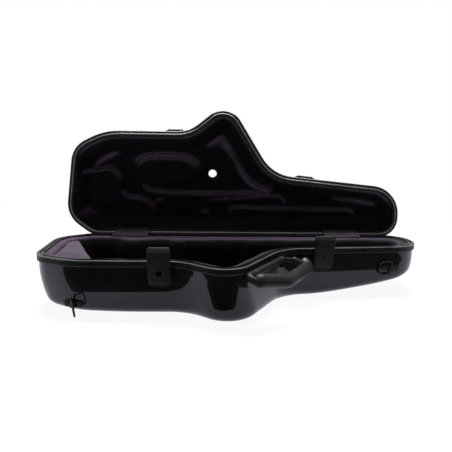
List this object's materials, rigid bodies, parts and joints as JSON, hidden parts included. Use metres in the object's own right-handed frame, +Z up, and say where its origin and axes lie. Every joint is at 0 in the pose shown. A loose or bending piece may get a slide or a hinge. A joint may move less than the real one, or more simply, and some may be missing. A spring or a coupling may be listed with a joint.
{
  "type": "alto saxophone case",
  "caption": "Shaped hard case for an alto saxophone, with a hinged lid, padded linings, a bow pad, toggle latches with locks, strap rings and a swinging handle.",
  "frame": {"origin": "on the floor the case rests on, midway along its length and about midway along the base's depth", "axes": "+X along the case to its narrow neck end, +Y towards the hinges, +Z up; lid open at rest"},
  "size_m": [0.6617, 0.3624, 0.3273],
  "materials": {
    "shell": "clear gloss over a fine diagonal carbon twill",
    "rim": "satin gloss",
    "seal": "matte",
    "lining": "short plush pile",
    "pad": "short plush pile",
    "handle_plastic": "satin moulded rubber",
    "latch_metal": "satin black",
    "bracket_metal": "satin dark grey",
    "hinge_metal": "satin black",
    "bright_metal": "dark polished"
  },
  "bodies": {
    "base": {"base_shell": "shell", "base_rim": "rim", "rim_seal": "seal", "base_lining": "lining", "bow_pad": "pad", "base_hinge_rivets": "bright_metal", "latch_plate_screws": "bright_metal", "handle_left_bracket": "bracket_metal", "handle_right_bracket": "bracket_metal", "handle_screws": "bright_metal", "hinge_left_base_leaf": "hinge_metal", "hinge_left_pin": "bright_metal", "latch_left_plate": "latch_metal", "latch_left_pin": "bright_metal", "strap_ring_left_plate": "latch_metal", "strap_ring_left_screws": "bright_metal", "hinge_right_base_leaf": "hinge_metal", "hinge_right_pin": "bright_metal", "latch_right_plate": "latch_metal", "latch_right_pin": "bright_metal", "strap_ring_right_plate": "latch_metal", "strap_ring_right_screws": "bright_metal"},
    "lid": {"lid_shell": "shell", "lid_rim": "rim", "lid_lining": "lining", "lid_hinge_rivets": "bright_metal", "keeper_screws": "bright_metal", "hinge_left_lid_leaf": "hinge_metal", "hinge_cover_left": "lining", "keeper_left": "latch_metal", "hinge_right_lid_leaf": "hinge_metal", "hinge_cover_right": "lining", "keeper_right": "latch_metal"},
    "handle": {"handle_bar": "handle_plastic", "handle_core": "handle_plastic", "handle_front_grip": "handle_plastic", "handle_side_grip": "handle_plastic", "handle_return_arm": "handle_plastic", "handle_link": "handle_plastic"},
    "latch_left": {"latch_left_lever": "latch_metal"},
    "latch_left_lock": {"latch_left_lock": "bright_metal"},
    "strap_ring_left": {"strap_ring_left": "bright_metal"},
    "latch_right": {"latch_right_lever": "latch_metal"},
    "latch_right_lock": {"latch_right_lock": "bright_metal"},
    "strap_ring_right": {"strap_ring_right": "bright_metal"}
  },
  "joints": [
    {"name": "lid_hinge", "type": "hinge", "parent": "base", "child": "lid", "pos_m": [0, 0.11, 0.079], "axis": [1, 0, 0], "range_deg": [0, 96]},
    {"name": "handle_swing", "type": "hinge", "parent": "base", "child": "handle", "pos_m": [0.014, -0.127, 0.077], "axis": [-0.5547, -0.8321, 0], "range_deg": [0, 40]},
    {"name": "latch_left_pivot", "type": "hinge", "parent": "base", "child": "latch_left", "pos_m": [-0.1215, -0.10226, 0.0575], "axis": [1, 0, 0], "range_deg": [-8, 80]},
    {"name": "latch_left_lock_turn", "type": "hinge", "parent": "latch_left", "child": "latch_left_lock", "pos_m": [-0.1215, -0.10894, 0.07121], "axis": [0, -0.9903, -0.1392], "range_deg": [0, 90]},
    {"name": "strap_ring_left_swing", "type": "hinge", "parent": "base", "child": "strap_ring_left", "pos_m": [-0.25457, -0.09115, 0.01724], "axis": [-0.0489, -0.1876, 0.981], "range_deg": [-124, 50]},
    {"name": "latch_right_pivot", "type": "hinge", "parent": "base", "child": "latch_right", "pos_m": [0.14447, -0.01287, 0.0575], "axis": [0.995, 0.0995, 0], "range_deg": [-8, 80]},
    {"name": "latch_right_lock_turn", "type": "hinge", "parent": "latch_right", "child": "latch_right_lock", "pos_m": [0.14517, -0.01986, 0.07368], "axis": [0.0985, -0.9854, -0.1392], "range_deg": [0, 90]},
    {"name": "strap_ring_right_swing", "type": "hinge", "parent": "base", "child": "strap_ring_right", "pos_m": [0.27076, 0.0021, 0.0498], "axis": [0.0052, -0.0506, 0.9987], "range_deg": [0, 175]}
  ]
}
